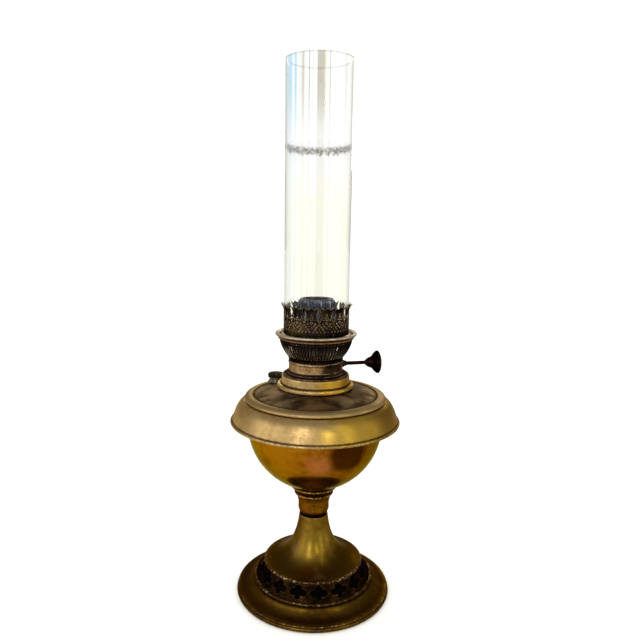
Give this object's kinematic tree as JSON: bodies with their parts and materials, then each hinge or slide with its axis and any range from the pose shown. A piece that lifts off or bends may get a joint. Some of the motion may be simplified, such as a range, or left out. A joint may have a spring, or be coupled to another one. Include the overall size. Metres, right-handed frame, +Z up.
{
  "type": "table oil lamp",
  "caption": "Brass table oil lamp: stepped foot with pierced band, trumpet stem, round bowl with flared skirt, round-wick burner with side knob, and straight glass chimney.",
  "frame": {"origin": "centre of the foot's resting ring, on the lamp's turned axis", "axes": "+Z up along the lamp's axis; the wick knob's spindle points out 15 degrees from +X towards +Y; -Y is the front seen in the view"},
  "size_m": [0.1806, 0.1796, 0.5559],
  "materials": {
    "aged_brass": "satin with brown patina",
    "golden_brass": "polished, worn",
    "dark_brass": "dark, oxidised",
    "dull_steel": "dull, heat stained",
    "cast_iron": "rough casting",
    "washer_leather": "matt",
    "wick_cotton": "woven cotton",
    "chimney_glass": "clear, sooted in a band"
  },
  "bodies": {
    "stand": {"foot_shell": "aged_brass", "foot_wire": "dull_steel", "foot_weight": "cast_iron", "pierced_band": "dark_brass", "stem": "aged_brass", "neck_collar": "golden_brass", "tie_rod": "dull_steel", "tie_washer": "dull_steel", "tie_nut": "dull_steel", "bowl_boss": "aged_brass", "bowl": "golden_brass", "skirt": "aged_brass", "skirt_wire": "dull_steel", "reservoir_top": "dark_brass", "filler_neck": "aged_brass", "burner_collar": "golden_brass"},
    "filler_cap_group": {"filler_cap": "aged_brass", "filler_washer": "washer_leather"},
    "burner": {"burner_base": "dark_brass", "burner_neck": "aged_brass", "air_basket": "dark_brass", "gallery_flange": "dark_brass", "crown": "dark_brass", "diffuser_plate": "dark_brass", "outer_wick_tube": "dull_steel", "draught_tube": "aged_brass", "spindle_gland": "dark_brass"},
    "chimney_glass": {"chimney": "chimney_glass"},
    "wick_group": {"wick": "wick_cotton", "wick_carrier": "aged_brass", "rack": "aged_brass"},
    "knob_group": {"spindle": "dull_steel", "knob": "dark_brass", "pinion": "dull_steel"}
  },
  "joints": [
    {"name": "burner_lift", "type": "slide", "parent": "stand", "child": "burner", "axis": [0, 0, 1], "range_m": [0, 0.11]},
    {"name": "filler_cap_lift", "type": "slide", "parent": "stand", "child": "filler_cap_group", "axis": [0, 0, 1], "range_m": [0, 0.015]},
    {"name": "chimney_lift", "type": "slide", "parent": "burner", "child": "chimney_glass", "axis": [0, 0, 1], "range_m": [0, 0.045]},
    {"name": "knob_turn", "type": "hinge", "parent": "burner", "child": "knob_group", "pos_m": [0, 0, 0.2602], "axis": [0.9659, 0.2588, 0], "range_deg": [-114, 85]},
    {"name": "wick_raise", "type": "slide", "parent": "burner", "child": "wick_group", "axis": [0, 0, 1], "range_m": [-0.008, 0.006]}
  ],
  "couplings": [
    {"joint": "wick_raise", "follows": "knob_turn", "m_per_rad": 0.004}
  ]
}
